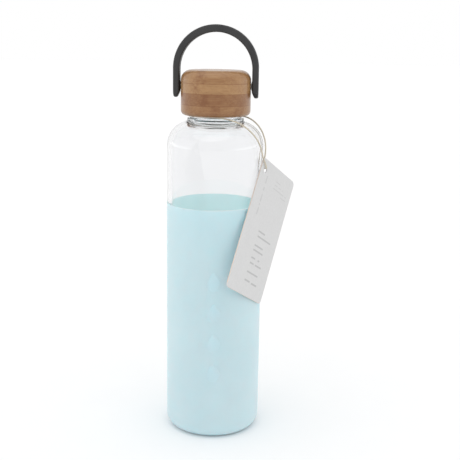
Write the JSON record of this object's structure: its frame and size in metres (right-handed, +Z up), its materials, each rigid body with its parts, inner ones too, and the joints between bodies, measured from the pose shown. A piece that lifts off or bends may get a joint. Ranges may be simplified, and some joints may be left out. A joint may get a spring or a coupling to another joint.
{
  "type": "glass water bottle",
  "caption": "Glass water bottle with a silicone boot, a screw-on bamboo lid with a swinging carry handle, and a card swing tag on a twine loop.",
  "frame": {"origin": "middle of the standing face under the silicone boot", "axes": "+Z up along the bottle's axis, +X along the handle's pivot axis, -Y towards the front"},
  "size_m": [0.0864, 0.0785, 0.2785],
  "materials": {
    "clear_glass": "clear soda-lime glass, polished",
    "pale_silicone": "matt pale blue silicone",
    "bamboo": "laminated bamboo with a satin lacquer",
    "white_plastic": "white polypropylene, satin",
    "clear_silicone": "translucent white silicone",
    "dark_plastic": "dark grey plastic, fine matt texture",
    "bush_plastic": "natural nylon",
    "steel": "stainless steel, turned",
    "card": "uncoated light grey card with printed bars",
    "twine": "natural jute twine, two-ply"
  },
  "bodies": {
    "bottle": {"glass_bottle": "clear_glass", "silicone_boot": "pale_silicone"},
    "lid_seal": {"lid_gasket": "clear_silicone"},
    "lid": {"bamboo_lid_shell": "bamboo", "lid_liner": "white_plastic", "right_pivot_bush": "bush_plastic", "left_pivot_bush": "bush_plastic", "right_pivot_pin": "steel", "left_pivot_pin": "steel"},
    "handle": {"carry_handle": "dark_plastic"},
    "tag_loop": {"tag_cord": "twine", "cord_knot": "twine"},
    "tag": {"swing_tag": "card"}
  },
  "joints": [
    {"name": "lid_rise", "type": "slide", "parent": "bottle", "child": "lid_seal", "axis": [0, 0, 1], "range_m": [0, 0.015]},
    {"name": "lid_turn", "type": "hinge", "parent": "lid_seal", "child": "lid", "pos_m": [0, 0, 0.2194], "axis": [0, 0, 1], "range_deg": [0, 1080.5]},
    {"name": "handle_swing", "type": "hinge", "parent": "lid", "child": "handle", "pos_m": [0, 0, 0.2387], "axis": [1, 0, 0], "range_deg": [-120, 120]},
    {"name": "loop_swivel", "type": "hinge", "parent": "bottle", "child": "tag_loop", "pos_m": [0, 0, 0.2182], "axis": [0, 0, 1], "continuous": true},
    {"name": "tag_swing", "type": "hinge", "parent": "tag_loop", "child": "tag", "pos_m": [0.03414, -0.00732, 0.1843], "axis": [0.8695, -0.4939, 0], "range_deg": [-45, 45]}
  ],
  "couplings": [
    {"joint": "lid_turn", "follows": "lid_rise", "rad_per_m": 1256.6}
  ]
}
